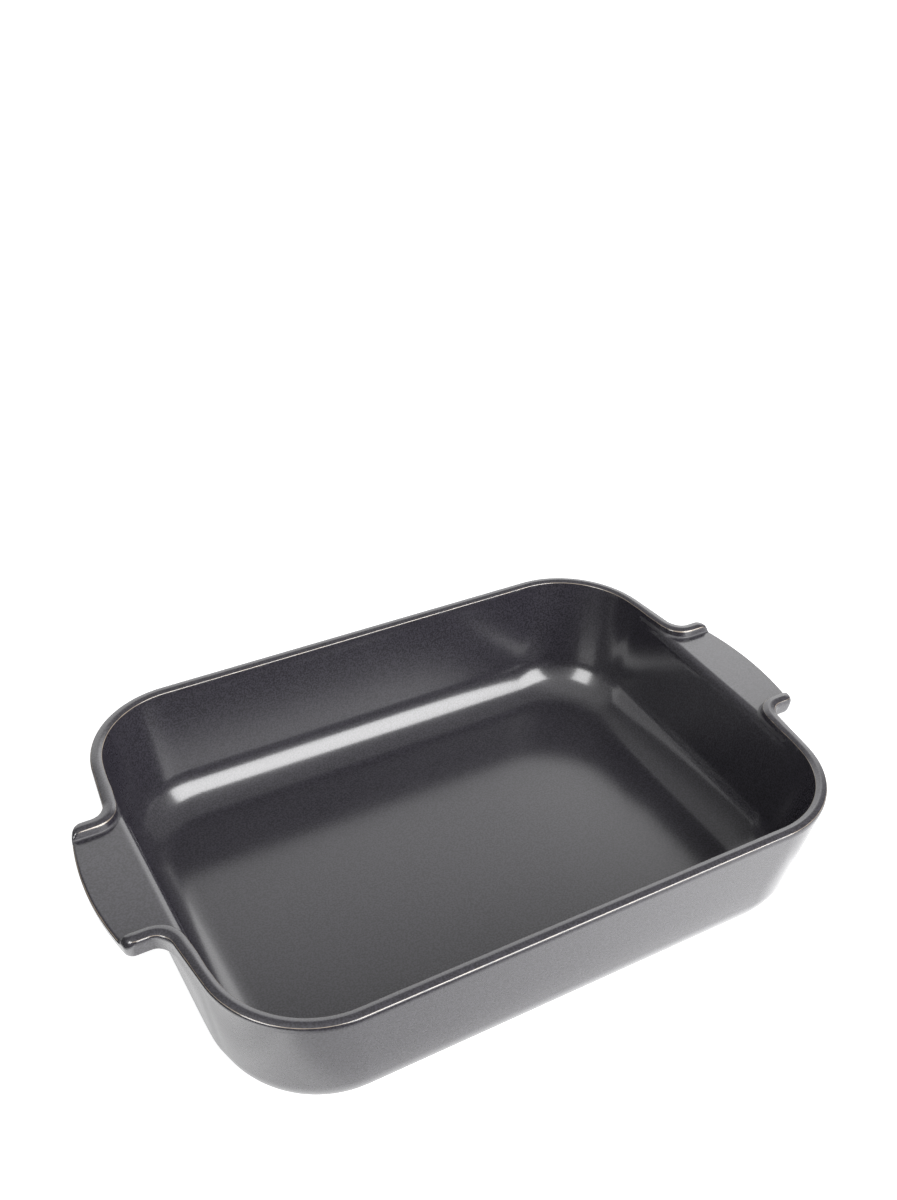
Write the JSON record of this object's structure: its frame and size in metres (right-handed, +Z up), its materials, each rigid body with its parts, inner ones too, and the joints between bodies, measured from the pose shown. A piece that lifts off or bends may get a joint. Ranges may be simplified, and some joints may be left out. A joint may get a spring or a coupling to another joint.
{
  "type": "lasagna dish",
  "caption": "Deep rectangular stoneware baking dish with rounded corners, a satin charcoal glaze and a recessed end handle at each short side.",
  "frame": {"origin": "centre of the foot ring's flat face, on the surface the dish stands on", "axes": "+X along the long side, towards one handle; +Y along the short side; +Z up, out of the bowl"},
  "size_m": [0.3976, 0.2514, 0.08],
  "materials": {
    "stoneware": "matte",
    "satin_glaze": "satin"
  },
  "bodies": {
    "root": {"bowl": "stoneware", "left_handle": "stoneware", "right_handle": "stoneware", "inside_glaze": "satin_glaze", "outside_glaze": "satin_glaze", "underside_glaze": "satin_glaze", "left_handle_glaze": "satin_glaze", "right_handle_glaze": "satin_glaze"}
  },
  "joints": []
}
